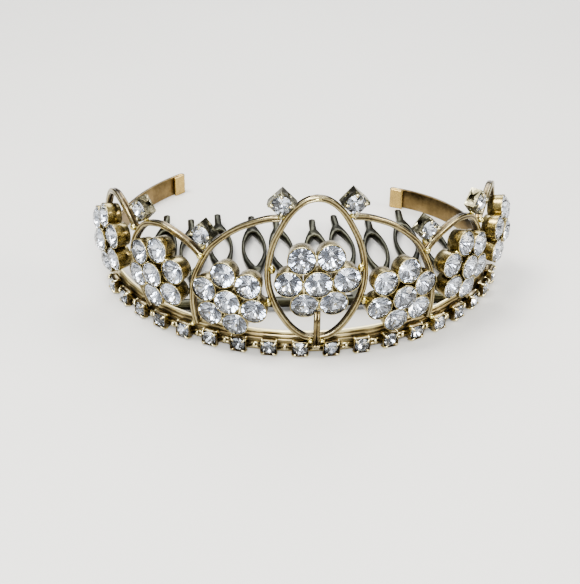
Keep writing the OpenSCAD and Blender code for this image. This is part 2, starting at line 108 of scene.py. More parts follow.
# Softboxes. Columns: name, place in m, side in m, power in W, tint
LIGHTS = (("key_softbox", (-0.22, -0.02, 0.58), 0.25, 5, "#FFFDF8"),
    ("front_softbox", (-0.08, -0.6, 0.42), 0.36, 9, "#F6FAFF"),
    ("side_softbox", (0.5, -0.15, 0.3), 0.25, 2.5, "#FFF6E8"),
    ("rear_softbox", (0.1, 0.5, 0.45), 0.4, 3.5, "#F2F7FF"))
LIT_POINT = (0, -0.01, 0.015)
# The studio's colours from the floor up: pale, a dark band, then a bright ceiling
SKY = ((0.4, "#B9B8B8"), (0.52, "#37363B"), (0.72, "#8A8F98"), (1.0, "#FFFFFF"))
# The photograph's camera, from the band's axis at the base stones' height: place in mm, then its axes.
# It looks down by 30.4 degrees from a little left of the front.
CAMERA_PLACE = (-26.06, -303.46, 162.33)
CAMERA_RIGHT = (0.99740, -0.07115, 0.01184)
CAMERA_DOWN = (-0.02588, -0.50617, -0.86204)
CAMERA_FORWARD = (0.06733, 0.85949, -0.50669)


def linear(code):
    """The linear RGB of an sRGB hex colour such as #C9B27E."""
    channels = [int(code[i:i + 2], 16) / 255 for i in (1, 3, 5)]
    return tuple(c / 12.92 if c <= 0.04045 else ((c + 0.055) / 1.055) ** 2.4 for c in channels)


def length(name, text, mm):
    """A length property in metres whose default is given in millimetres."""
    return FloatProperty(name=name, description=text, default=mm * MM, unit="LENGTH", precision=5)


def colour(name, text, code):
    """A colour property whose default is an sRGB hex value."""
    return FloatVectorProperty(name=name, description=text, default=linear(code), subtype="COLOR", size=3, min=0, max=1)


class TiaraSizes(bpy.types.PropertyGroup):
    stone_r: length("Stone circle", "Radius of the circle on which the base stones stand", 57.1)
    stone_z: length("Stone height", "Height of the base stones' centres", 2.3)
    band_r: length("Band radius", "Radius of the band's reeded face", 54.444)
    band_h: length("Band height", "Height of the band", 6.1)
    band_t: length("Band thickness", "Thickness of the band's strip", 0.8)
    rail_h: length("Rail height", "Height of the plain rail along the band's top", 1.22)
    rail_proud: length("Rail step", "How far the rail stands in front of the reeds", 0.1)
    reed_depth: length("Reed depth", "Depth of the grooves between the reeds", 0.28)
    reeds: IntProperty(name="Reeds", description="Number of reeds on the band's front", default=4, min=1)
    arm_angle: FloatProperty(name="Arm angle", description="Angle at which the arms begin, in degrees", default=76)
    arm_left_r: length("Left arm radius", "Bending radius of the left arm", 54.5)
    arm_right_r: length("Right arm radius", "Bending radius of the right arm, which is bent in", 36)
    arm_left_turn: FloatProperty(name="Left arm turn", description="Turn of the left arm in degrees", default=65)
    arm_right_turn: FloatProperty(name="Right arm turn", description="Turn of the right arm in degrees", default=82)
    hem_l: length("Hem", "Length of the folded hem at each tip", 3.4)
    hem_space: length("Hem space", "Space between the two layers of a hem", 0.4)
    lean: FloatProperty(name="Lean", description="Inward lean of the wires in degrees", default=6.1)
    wire_w: length("Wire width", "Width of the wires as seen from the front", 1.6)
    wire_depth: length("Wire depth", "Depth of the wires from front to back", 1.95)
    loop_top: length("Loop top", "Height of the centre loop above the base stones", 40.1)
    loop_foot: length("Loop foot", "Height of the loop's lower end above the base stones", 3.0)
    loop_angle: FloatProperty(name="Loop half width", description="Half width of the loop in degrees", default=12.8)
    flower_out: length("Flower stand-off", "How far the cup rims stand in front of the wires", 2.6)
    centre_ring: length("Centre ring", "Ring radius of the centre flower's stones", 7.24)
    side_ring: length("Side ring", "Ring radius of the side flowers' stones", 6.84)
    dome: length("Dome", "How far a flower's middle stone stands in front of its ring", 1.25)
    ring_tilt: FloatProperty(name="Ring tilt", description="Outward tilt of the ring stones in degrees", default=8)
    cup_depth: length("Cup depth", "Depth of the flower cups", 4.2)
    cup_wall: length("Cup wall", "Thickness of a cup's wall at its rim", 0.4)
    base_pitch: length("Base pitch", "Spacing of the base stones along their circle", 8)
    base_rim: length("Base rim", "How far the base settings' rims stand in front of their circle", -0.1)
    base_box: length("Base setting", "Width of a square base setting", 4.4)
    base_box_depth: length("Base setting depth", "Depth of a base setting", 2.25)
    base_stone_d: length("Base stone", "Diameter of a base stone", 3.7)
    crest_stone_d: length("Crest stone", "Diameter of a crest stone", 4.5)
    crest_box: length("Crest setting", "Width of a square crest setting", 5)
    crest_out: length("Crest stand-off", "How far the crest settings' rims stand in front of the wires", 2.6)
    post_r: length("Post wire", "Radius of the two post wires", 0.45)
    post_reach: length("Post reach", "How far the post runs on between the cups", 1.6)
    post_ball_r: length("Post ball", "Radius of the balls at the post's foot", 0.62)
    gap: length("Seat gap", "Gap between a stone and its seat", 0.1)


class TiaraColours(bpy.types.PropertyGroup):
    # Painted highlight: on the wires this colour shows on their fronts, and in random light patches
    wire_light: colour("Wire, rubbed", "Champagne gilt where the wires are rubbed", "#A09574")
    # On the wires this colour shows in random patches and as painted shade on their flanks and backs
    wire_deep: colour("Wire, deep", "Browner gilt on the wires' flanks", "#564931")
    # Painted shade: this darkest colour is laid into grooves, hollows and corners where shade falls
    groove_shade: colour("Groove", "Tarnish in grooves and corners", "#231B0E")
    cup_light: colour("Cup, bright", "Pale yellow gilt of rims and claws", "#E4D8AC")
    # On the cups' bodies this colour also carries painted shade towards their backs
    cup_deep: colour("Cup, deep", "Deeper brass of the cups' bodies", "#92845A")
    band_light: colour("Band, bright", "Gilt of the band's ridges and rail", "#DCCFA2")
    band_deep: colour("Band, worn", "Brown where the arms' gilt is worn", "#8C7854")
    solder: colour("Solder", "Bright yellow drops of solder", "#DCD090")
    hem: colour("Hem", "Whole yellow gilt of the folded tips", "#C2A768")
    silver_light: colour("Setting, bright", "Grey-green plating of the crest settings", "#A9A48C")
    silver_deep: colour("Setting, dark", "Dark tarnish of the crest settings", "#4E4B3C")
    comb_light: colour("Comb, bright", "Olive-grey plating of the comb", "#4C4A38")
    comb_deep: colour("Comb, dull", "Dull patches of the comb's plating", "#302E22")
    glass: colour("Glass", "Clear glass with a cold tint", "#F7FAFF")
    foil: colour("Foil", "Silvered back of the stones", "#EBEEF3")
    floor: colour("Floor", "Plain pale floor", "#C0BEB9")


def outward(angle):
    """Unit vectors away from the axis at angles from the front, in degrees: (sin a, -cos a, 0)."""
    a = np.radians(np.asarray(angle, float))
    return np.stack([np.sin(a), -np.cos(a), np.zeros_like(a)], -1)


def axis_y(s):
    """Y of the band's axis: its front face lies one face radius before it."""
    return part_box("base_band")[0].y + s.band_r + s.rail_proud


def at(s, angle, height, out):
    """Points at an angle, a height up the leaning surface and a distance in front of it:
    the radius shrinks by height times the sine of the lean."""
    angle, height, out = np.broadcast_arrays(*(np.asarray(v, float) for v in (angle, height, out)))
    lean = math.radians(s.lean)
    radius = s.stone_r + out - height * math.sin(lean)
    points = outward(angle) * radius[..., None]
    points[..., 1] += axis_y(s)
    points[..., 2] = s.stone_z + height * math.cos(lean)
    return points


def stand(s, angle, height, out):
    """Matrix that stands a shape on the leaning surface: its Z outwards, its Y up."""
    turn = Matrix.Rotation(math.radians(angle), 4, "Z") @ Matrix.Rotation(math.pi / 2, 4, "X")
    return Matrix.Translation(Vector(at(s, angle, height, out))) @ turn


def smooth_path(points, n):
    """Catmull-Rom curve through the points, with n steps between neighbours."""
    p = np.vstack([points[:1], points, points[-1:]])
    t = (np.arange(n) / n)[None, :, None]
    a, b, c, d = (p[i:len(p) - 3 + i][:, None, :] for i in range(4))
    curve = b + t * (c - a) / 2 + t ** 2 * (2 * a - 5 * b + 4 * c - d) / 2 + t ** 3 * (3 * b - a - 3 * c + d) / 2
    return np.vstack([curve.reshape(-1, points.shape[1]), points[-1:]])


def transform(matrix, points):
    """Points, as an array, moved by a 4 by 4 matrix."""
    m = np.array(matrix)
    return points @ m[:3, :3].T + m[:3, 3]


def grid_faces(rows, columns, wrap_rows, wrap_columns):
    """Quads of a grid of rows by columns of vertices, joined round either way where asked."""
    i = np.arange(rows if wrap_rows else rows - 1)[:, None]
    j = np.arange(columns if wrap_columns else columns - 1)[None, :]
    k, m = (i + 1) % rows, (j + 1) % columns
    quads = np.stack([i * columns + j, i * columns + m, k * columns + m, k * columns + j], -1)
    return quads.reshape(-1, 4)


def tube_faces(rows, columns, flip):
    """Faces of a tube of rings with both its ends closed, turned over where flip is set."""
    faces = grid_faces(rows, columns, False, True).tolist()
    faces.append(list(range(columns))[::-1])
    faces.append([(rows - 1) * columns + j for j in range(columns)])
    return [f[::-1] for f in faces] if flip else faces


class Shape:
    """Vertices, faces, a value per vertex for rubbing, painted highlights and painted shade, and a tone per
    face, which paints reflections onto the stones' foil, gathered before they become one mesh.
    """

    def __init__(self):
        self.points, self.faces, self.wear, self.slots, self.tones, self.count = [], [], [], [], [], 0

    def add(self, points, faces, wear=0.5, slot=0, tone=0.5):
        points = np.asarray(points, float).reshape(-1, 3)
        self.points.append(points)
        self.wear.append(np.broadcast_to(np.asarray(wear, float).reshape(-1), (len(points),)))
        self.faces += [[int(v) + self.count for v in f] for f in faces]
        self.slots += np.broadcast_to(slot, (len(faces),)).tolist()
        self.tones += np.broadcast_to(tone, (len(faces),)).tolist()
        self.count += len(points)

    def build(self, name, materials, smooth=True, mirror=False):
        points = np.vstack(self.points)
        faces = self.faces
        if mirror:
            points = points * np.array([-1.0, 1.0, 1.0])
            faces = [f[::-1] for f in faces]
        mesh = bpy.data.meshes.new(name)
        mesh.from_pydata(points.tolist(), [], faces)
        mesh.polygons.foreach_set("use_smooth", np.full(len(faces), smooth))
        mesh.polygons.foreach_set("material_index", np.array(self.slots, np.int32))
        wear = mesh.attributes.new("wear", "FLOAT", "POINT")
        wear.data.foreach_set("value", np.concatenate(self.wear).astype(np.float32))
        tone = mesh.attributes.new("tone", "FLOAT", "FACE")
        tone.data.foreach_set("value", np.array(self.tones, np.float32))
        for m in materials:
            mesh.materials.append(m)
        mesh.validate()
        mesh.update()
        piece = bpy.data.objects.new(name, mesh)
        bpy.context.scene.collection.objects.link(piece)
        return piece


def settle(piece, slot, *nodes):
    """The piece rides on the one body and stands for the nodes that it replaces. Its slot argument is not used."""
    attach(piece, "root")
    if nodes:
        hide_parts(*nodes)
    return piece


def sweep(shape, path, front, profile, closed, wear):
    """A closed profile (across, forwards) carried along a path: each ring stands square to the path,
    with its forward axis along front."""
    if closed:
        run = np.roll(path, -1, 0) - np.roll(path, 1, 0)
    else:
        run = np.gradient(path, axis=0)
    run /= np.linalg.norm(run, axis=1, keepdims=True)
    side = np.cross(run, front)
    side /= np.linalg.norm(side, axis=1, keepdims=True)
    points = path[:, None] + side[:, None] * profile[None, :, :1] + front[:, None] * profile[None, :, 1:]
    rows, columns = points.shape[:2]
    if closed:
        faces = grid_faces(rows, columns, True, True)[:, ::-1].tolist()
    else:
        faces = tube_faces(rows, columns, True)
    shape.add(points, faces, np.broadcast_to(wear, (rows, columns)))


def wire_profile(s, n=44):
    """Section of a wire: a rounded oblong, |x/a|^p + |y/b|^p = 1, pressed in by three soft grooves,
    one along the front and one along each flank. Also gives the per-vertex values for the colour ramp: a painted
    highlight along the front, painted shade towards the back and in the grooves."""
    t = np.arange(n) * 2 * math.pi / n
    c, d = np.cos(t), np.sin(t)
    power = 2 / 3.4
    x = np.sign(c) * np.abs(c) ** power * s.wire_w / 2
    y = np.sign(d) * np.abs(d) ** power * s.wire_depth / 2
    front = np.exp(-(x / (0.11 * s.wire_w)) ** 2) * (y > 0)
    flank = np.exp(-((y - 0.12 * s.wire_depth) / (0.1 * s.wire_depth)) ** 2) * (np.abs(x) > 0.3 * s.wire_w)
    y = y - front * 0.14 * s.wire_w - s.wire_depth / 2
    x = x - np.sign(x) * flank * 0.1 * s.wire_w
    # Painted light: brightest on the front, darker towards the back, with painted shade laid into the grooves
    light = 0.5 + 0.5 * np.clip(d, -0.4, 1)
    return np.stack([x, y], 1), np.clip(light - 0.9 * np.maximum(front, flank), 0, 1)


def face_direction(s, angle):
    """The direction in which the leaning surface faces."""
    lean = math.radians(s.lean)
    return outward(angle) * math.cos(lean) + np.array([0, 0, math.sin(lean)])


def arch_route(number):
    """Angles and heights (m) along an arch, from its joint to its foot."""
    shape, join, reach, top = ARCHES[number]
    route = smooth_path(shape, 8)
    return join + route[:, 0] * (reach - join), route[:, 1] * top * MM


def loop_route(s):
    """Angles and heights (m) round the centre loop, once."""
    half = smooth_path(LOOP_SHAPE, 8)
    other = half[-2:0:-1] * np.array([-1.0, 1.0])
    route = np.vstack([half, other])
    return route[:, 0] * s.loop_angle, s.loop_foot + route[:, 1] * (s.loop_top - s.loop_foot)


def revolve(shape, profile, matrix, segments, wear, slot=0):
    """A profile (radius, z) turned about Z, whose first and last points lie on the axis."""
    t = np.arange(segments) * 2 * math.pi / segments
    ring = np.stack([np.cos(t), np.sin(t)], 1)
    inner = profile[1:-1]
    heights = np.broadcast_to(inner[:, None, 1:], (len(inner), segments, 1))
    points = np.concatenate([inner[:, None, :1] * ring[None], heights], 2).reshape(-1, 3)
    poles = np.array([[0, 0, profile[0, 1]], [0, 0, profile[-1, 1]]])
    first, last = len(points), len(points) + 1
    faces = grid_faces(len(inner), segments, False, True).tolist()
    faces += [[first, (j + 1) % segments, j] for j in range(segments)]
    base = (len(inner) - 1) * segments
    faces += [[last, base + j, base + (j + 1) % segments] for j in range(segments)]
    wear = np.concatenate([np.repeat(np.asarray(wear, float)[1:-1], segments), [wear[0], wear[-1]]])
    shape.add(transform(matrix, np.vstack([points, poles])), faces, wear, slot)


def cup_profile(radius, back, wall, depth, seat):
    """Outline of a stamped cup from the middle of its back, up its tapered wall, over its round rim and
    down the hollow, with its per-vertex values: brightest on the rim, with painted shade inside the hollow
    and towards the back."""
    def taper(share):
        return radius + (back - radius) * share

    lip = wall / 2
    turn = np.linspace(0, math.pi, 7)
    rim = np.stack([radius - lip + lip * np.cos(turn), -lip + lip * np.sin(turn)], 1)
    outer = np.array([[0, -depth], [back * 0.7, -depth], [back * 0.93, -depth * 0.985], [taper(0.93), -depth * 0.93],
        [taper(0.5), -depth * 0.5], [taper(0.2), -depth * 0.2], [taper(0.12), -depth * 0.12]])
    hollow = np.array([[radius - wall, -radius * 0.3], [radius * 0.35, -seat], [0, -seat]])
    profile = np.vstack([outer, rim, hollow])
    # Brightest on the rim; painted shade down into the hollow and towards the cup's back
    rim_wear = [0.35, 0.6, 0.9, 0.65, 0.2, 0.0, 0.0]
    wear = np.concatenate([[0.1, 0.1, 0.12, 0.2, 0.3, 0.35, 0.25], rim_wear, [0.0, 0.0, 0.0]])
    return profile, wear


def flower_spots(s, ring, turn):
    """Matrices of a flower's seven places: the middle, and six round it that tilt outwards."""
    spots = [Matrix.Translation((0, 0, s.dome))]
    for k in range(6):
        spots.append(Matrix.Rotation(math.radians(turn + 60 * k), 4, "Z") @ Matrix.Translation((ring, 0, 0))
            @ Matrix.Rotation(math.radians(s.ring_tilt), 4, "Y"))
    return spots


def cut_stone(shape, diameter, crown, pavilion, matrix, rng, wedge=0.14, dull=0.0, crisp=1.0, slots=(0, 1)):
    """A round brilliant: an octagonal table, eight stars, eight kites and sixteen halves on the crown,
    and eight kites and sixteen halves on the foiled back. The back's kites reach out to the share wedge
    of the radius. Facet tones paint reflections onto the foil: dull darkens facets, and crisp parts them
    into dark and bright. Kites are planes through a table corner and the girdle, so their side corners lie at
    z = top - slope * (m * cos(22.5 deg) - table)."""
    r = diameter / 2
    table, middle, belt = 0.5 * r, 0.76 * r, 0.03 * diameter
    slope = crown / (r - table)
    eighth = np.arange(8) * math.pi / 4
    mid = eighth + math.pi / 8
    sixteenth = np.arange(16) * math.pi / 8
    mid_z = crown - slope * (middle * math.cos(math.pi / 8) - table)
    low = wedge * r
    low_slope = pavilion / r
    low_z = -belt - pavilion + low_slope * low * math.cos(math.pi / 8)

    def circle(radius, angles, z):
        return np.stack([radius * np.cos(angles), radius * np.sin(angles), np.full(len(angles), z)], 1)

    points = np.vstack([circle(table, eighth, crown), circle(middle, mid, mid_z), circle(r, sixteenth, 0),
        circle(r, sixteenth, -belt), circle(low, mid, low_z), [[0, 0, -belt - pavilion]]])
    k = np.arange(8)
    n = (k + 1) % 8
    top, star, girdle, under, deep, culet = 0, 8, 16, 32, 48, 56
    front = [list(range(8))]
    front += [[top + a, star + a, top + b] for a, b in zip(k, n)]
    front += [[top + b, star + a, girdle + 2 * b, star + b] for a, b in zip(k, n)]
    front += [[star + a, girdle + 2 * a, girdle + 2 * a + 1] for a in k]
    front += [[star + a, girdle + 2 * a + 1, girdle + 2 * b] for a, b in zip(k, n)]
    j = np.arange(16)
    front += [[girdle + a, under + a, under + b, girdle + b] for a, b in zip(j, (j + 1) % 16)]
    back = [[deep + a, under + 2 * a + 1, under + 2 * a] for a in k]
    back += [[deep + a, under + 2 * b, under + 2 * a + 1] for a, b in zip(k, n)]
    back += [[culet, deep + b, under + 2 * b, deep + a] for a, b in zip(k, n)]
    spin = Matrix.Rotation(rng.uniform(0, math.pi / 4), 4, "Z")
    placed = transform(matrix @ spin, points)
    # Painted reflections: neighbouring facets of the foiled back differ, which draws the wedges that meet in the middle
    count = len(front) + len(back)
    tones = np.clip(rng.uniform(-dull, 1, count) * 0.8 + 0.2 * (np.arange(count) % 2), 0, 1)
    tones = np.clip(MIDDLE_TONE + crisp * (tones - MIDDLE_TONE), 0, 1)
    shape.add(placed, front + back, 0.5, np.repeat(slots, (len(front), len(back))), tones)


def wobble(rng, most):
    """A small random tilt, as a stone has in its seat, of up to most radians either way."""
    return Matrix.Rotation(rng.uniform(-most, most), 4, "X") @ Matrix.Rotation(rng.uniform(-most, most), 4, "Y")


def set_stones(shape, name, replaced, mirror=False):
    """Builds gathered stones, flat faced, and settles them for the node that they replace."""
    piece = shape.build(name, [FINISH["glass"], FINISH["foil"]], smooth=False, mirror=mirror)
    settle(piece, "rhinestone", replaced)


def node(tree, kind, links=None, **settings):
    """Adds a node, sets its properties or unlinked inputs, and links the inputs that links names."""
    made = tree.nodes.new(kind)
    for key, value in settings.items():
        if hasattr(made, key):
            setattr(made, key, value)
        else:
            made.inputs[key.replace("_", " ")].default_value = value
    for key, source in (links or {}).items():
        target = made.inputs[key] if isinstance(key, int) else made.inputs[key.replace("_", " ")]
        tree.links.new(source, target)
    return made


def start_material(name):
    """A material with an empty tree and its output."""
    material = bpy.data.materials.new(name)
    material.use_nodes = True
    tree = material.node_tree
    tree.nodes.clear()
    return material, tree, tree.nodes.new("ShaderNodeOutputMaterial")


def ramp(tree, source, stops):
    """A colour ramp with (place, colour) stops, driven by source."""
    made = node(tree, "ShaderNodeValToRGB", {"Fac": source})
    elements = made.color_ramp.elements
    while len(elements) < len(stops):
        elements.new(0.5)
    for element, (place, value) in zip(elements, stops):
        element.position = place
        element.color = (*value, 1)
    return made


def plated_metal(name, dark, deep, light, roughness, blotch_mm, mottle, dent, scratch, has_wear):
    """Plating over base metal. Large soft blotches of the size blotch_mm mix the deep and light
    colours, specks of 0.8 mm mottle them by mottle, the per-vertex attribute brightens what is rubbed or given
    a painted highlight and lays painted shade into what is sunk, soft dents of 2.6 mm make reflections
    waver, and fine grain breaks the gloss."""
    material, tree, output = start_material(name)
    place = node(tree, "ShaderNodeTexCoord").outputs["Object"]
    blotch = node(tree, "ShaderNodeTexNoise", {"Vector": place}, Scale=1 / (blotch_mm * MM), Detail=3.0, Roughness=0.6)
    specks = node(tree, "ShaderNodeTexNoise", {"Vector": place}, Scale=1 / (0.8 * MM), Detail=3.0, Roughness=0.65)
    grain = node(tree, "ShaderNodeTexNoise", {"Vector": place}, Scale=1 / (0.35 * MM), Detail=2.0)
    shift = node(tree, "ShaderNodeMapRange", {"Value": specks.outputs["Fac"]},
        From_Min=0.3, From_Max=0.7, To_Min=-mottle, To_Max=mottle)
    patches = node(tree, "ShaderNodeMath", {0: blotch.outputs["Fac"], 1: shift.outputs["Result"]}, operation="ADD")
    if has_wear:
        # The per-vertex attribute brings in rubbing together with painted highlights and painted shade
        wear = node(tree, "ShaderNodeAttribute", attribute_name="wear").outputs["Fac"]
        mix = node(tree, "ShaderNodeMath", {0: wear, 1: patches.outputs[0]}, operation="ADD")
        level = node(tree, "ShaderNodeMath", {0: mix.outputs[0]}, operation="MULTIPLY")
        level.inputs[1].default_value = 0.5
        tone = ramp(tree, level.outputs[0], ((0.2, dark), (0.42, deep), (0.78, light)))
    else:
        tone = ramp(tree, patches.outputs[0], ((0.3, dark), (0.46, deep), (0.66, light)))
    rough = node(tree, "ShaderNodeMapRange", {"Value": grain.outputs["Fac"]},
        To_Min=roughness - 0.07, To_Max=roughness + 0.12)
    swell = node(tree, "ShaderNodeTexNoise", {"Vector": place}, Scale=1 / (2.6 * MM), Detail=1.0)
    dents = node(tree, "ShaderNodeBump", {"Height": swell.outputs["Fac"]}, Strength=dent, Distance=0.22 * MM)
    bump = node(tree, "ShaderNodeBump", {"Height": grain.outputs["Fac"], "Normal": dents.outputs["Normal"]},
        Strength=scratch, Distance=0.05 * MM)
    shader = node(tree, "ShaderNodeBsdfPrincipled", {"Base_Color": tone.outputs["Color"],
        "Roughness": rough.outputs["Result"], "Normal": bump.outputs["Normal"]}, Metallic=1.0)
    tree.links.new(shader.outputs[0], output.inputs["Surface"])
    return material


def cut_glass(c):
    """Clear cut glass with a cold tint and the index of crystal glass; fine scuffs leave it a little hazy."""
    material, tree, output = start_material("cut_crystal_glass")
    shader = node(tree, "ShaderNodeBsdfPrincipled", Roughness=0.02, IOR=1.56)
    shader.inputs["Base Color"].default_value = (*c.glass, 1)
    shader.inputs["Transmission Weight"].default_value = 0.975
    tree.links.new(shader.outputs[0], output.inputs["Surface"])
    return material


def silver_foil(c):
    """Silvered foil on the stone's back: a soft mirror whose facets differ in brightness by their tone, which
    paints reflections onto it.
    """
    material, tree, output = start_material("silvered_foil")
    tones = node(tree, "ShaderNodeAttribute", attribute_name="tone").outputs["Fac"]
    # Painted reflections: the foil colours for facets painted dark and dim
    dull, middling = (tuple(share * v for v in c.foil) for share in (0.03, 0.4))
    tone = ramp(tree, tones, ((0.04, dull), (0.3, middling), (0.55, tuple(c.foil))))
    shader = node(tree, "ShaderNodeBsdfPrincipled", {"Base_Color": tone.outputs["Color"]}, Metallic=1.0, Roughness=0.05)
    tree.links.new(shader.outputs[0], output.inputs["Surface"])
    return material


def finishes():
    """The object's materials, made once and kept by name."""
    c = bpy.context.scene.tiara_colours
    made = {}
    for key, (name, colours, *settings) in PLATINGS.items():
        made[key] = plated_metal(name, *(getattr(c, shade) for shade in colours), *settings)
    made["glass"] = cut_glass(c)
    made["foil"] = silver_foil(c)
    return made


FINISH = {}


class TIARA_OT_finishes(bpy.types.Operator):
    """Make the metals, glass and foil"""
    bl_idname = "tiara.finishes"
    bl_label = "Finishes"

    def execute(self, context):
        FINISH.update(finishes())
        return {"FINISHED"}


def band_stations(s):
    """Points of the band's face line in plan with their outward normals, from the left hem, round the
    front, to the right hem. Each tip turns back in a half circle for its folded hem."""
    fold = s.band_t + s.hem_space / 2

    def arm(radius, turn, sign):
        start = sign * s.arm_angle
        centre = outward(start) * (s.band_r - radius)
        last = turn - math.degrees(fold / radius)
        t = np.linspace(2, last, ARM_STEPS)
        angles = sign * (s.arm_angle + t)
        line = centre + outward(angles) * radius
        tip_normal = outward(angles[-1])
        along = outward(angles[-1] + sign * 90)
        pivot = centre + tip_normal * (radius - fold)
        u = np.radians(np.linspace(15, 180, BEND_STEPS))[:, None]
        turned = np.cos(u) * tip_normal + np.sin(u) * along
        bend = pivot + turned * fold
        back = sign * (s.arm_angle + last - np.degrees(np.linspace(0.1, 1, HEM_STEPS) * s.hem_l / radius))
        inner = centre + outward(back) * (radius - 2 * fold)
        stations = np.vstack([line, bend, inner])
        normals = np.vstack([outward(angles), turned, -outward(back)])
        return stations, normals, np.full(len(stations), s.arm_angle + last)

    right_line, right_normal, right_angle = arm(s.arm_right_r, s.arm_right_turn, 1)
    left_line, left_normal, left_angle = arm(s.arm_left_r, s.arm_left_turn, -1)
    front = np.linspace(-s.arm_angle, s.arm_angle, 180)
    line = np.vstack([left_line[::-1], outward(front) * s.band_r, right_line])
    normal = np.vstack([left_normal[::-1], outward(front), right_normal])
    line[:, 1] += axis_y(s)
    return line, normal, np.concatenate([-left_angle[::-1], front, right_angle])


def band_profile(s):
    """Section of the band as (outwards, up): half-round reeds below a plain rounded rail, and a flat back.
    Reeds follow -depth * (1 - |sin(pi * z / reed)|^0.6)."""
    reed = (s.band_h - s.rail_h) / s.reeds
    z = np.linspace(0.1 * MM, s.band_h - s.rail_h, 8 * s.reeds + 1)
    press = 1 - np.abs(np.sin(math.pi * z / reed)) ** 0.6
    reeds = np.stack([-s.reed_depth * press, z], 1)
    turn = np.linspace(-math.pi / 2, math.pi / 2, 7)
    soft, bevel = 0.22 * MM, 0.07 * MM
    low = np.array([[s.rail_proud, s.band_h - s.rail_h * 0.85]])
    top = np.stack([s.rail_proud - soft + soft * np.cos(turn[3:]), s.band_h - soft + soft * np.sin(turn[3:])], 1)
    back = np.array([[-s.band_t + soft, s.band_h], [-s.band_t + bevel, s.band_h - bevel],
        [-s.band_t, s.band_h - soft], [-s.band_t, soft], [-s.band_t + bevel, 0.05 * MM], [-s.band_t + soft, 0]])
    # Painted shade in the reeds' grooves and on the back, darker towards its bottom; the rail's top is brightest
    wear = np.concatenate([0.75 - 0.7 * press, [0.8], np.full(len(top), 1.0), [0.9, 0.7, 0.45, 0.4, 0.3, 0.2]])
    return np.vstack([reeds, low, top, back]), wear


class TIARA_OT_band(bpy.types.Operator):
    """Base band with its reeds, rail, arms and hems"""
    bl_idname = "tiara.band"
    bl_label = "Base band"

    def execute(self, context):
        s = context.scene.tiara_sizes
        line, normal, angle = band_stations(s)
        profile, wear = band_profile(s)
        # The reeds and the rail's step run out where the plain arms begin
        plain = np.clip((np.abs(angle) - s.arm_angle) / 3, 0, 1)[:, None]
        across = profile[None, :, 0]
        across = np.where(across > -s.reed_depth - 0.01 * MM, (1 - plain) * across, across)
        points = line[:, None] + normal[:, None] * across[..., None]
        points[..., 2] += profile[None, :, 1]
        rows, columns = points.shape[:2]
        # On the arms the gilt is thin: dull along the top edge, brown on the faces, yellow on the hems
        edge = profile[None, :, 1] > s.band_h - 0.25 * MM
        hem = np.linspace(-1, 1, rows)[:, None]
        ends = 2 * (BEND_STEPS + HEM_STEPS + FADE_STEPS)
        hem = np.clip((np.abs(hem) - 1 + ends / rows) * rows / (2 * FADE_STEPS), 0, 1)
        arm = np.where(edge, 0.05, 0.38) * (1 - hem) + 0.85 * hem
        wear = wear[None] * (1 - plain) + arm * plain
        folded = np.append(np.repeat(hem[:-1, 0] > 0.5, columns), [True, True])
        shape = Shape()
        shape.add(points, tube_faces(rows, columns, True), np.broadcast_to(wear, (rows, columns)), folded)
        piece = shape.build("reeded_band", [FINISH["band"], FINISH["hem"]])
        settle(piece, "band_gold", "base_band")
        return {"FINISHED"}


class TIARA_OT_wires(bpy.types.Operator):
    """Centre loop and the six arches, as grooved wires"""
    bl_idname = "tiara.wires"
    bl_label = "Wires"

    def execute(self, context):
        s = context.scene.tiara_sizes
        profile, wear = wire_profile(s)
        angle, height = loop_route(s)
        shape = Shape()
        sweep(shape, at(s, angle, height, 0), face_direction(s, angle), profile, True, wear)
        settle(shape.build("loop_wire", [FINISH["wire"]]), "wire_gold", "centre_loop")
        for number in range(3):
            angle, height = arch_route(number)
            for side in SIDES:
                shape = Shape()
                sweep(shape, at(s, angle, height, 0), face_direction(s, angle), profile, False, wear)
                piece = shape.build(f"arch_wire_{side}_{number + 1}", [FINISH["wire"]], mirror=side == "left")
                settle(piece, "wire_gold", f"arch_{side}_{number + 1}")
        return {"FINISHED"}


def blob(shape, centre, size, matrix, wear=0.9, segments=14, slot=0):
    """A drop or ball of metal, with the given half axes."""
    t = np.linspace(0, math.pi, 9)
    profile = np.stack([np.sin(t), -np.cos(t)], 1)
    base = matrix @ Matrix.Translation(centre) @ Matrix.Diagonal((*size, 1))
    revolve(shape, profile, base, segments, np.full(len(t), wear), slot)


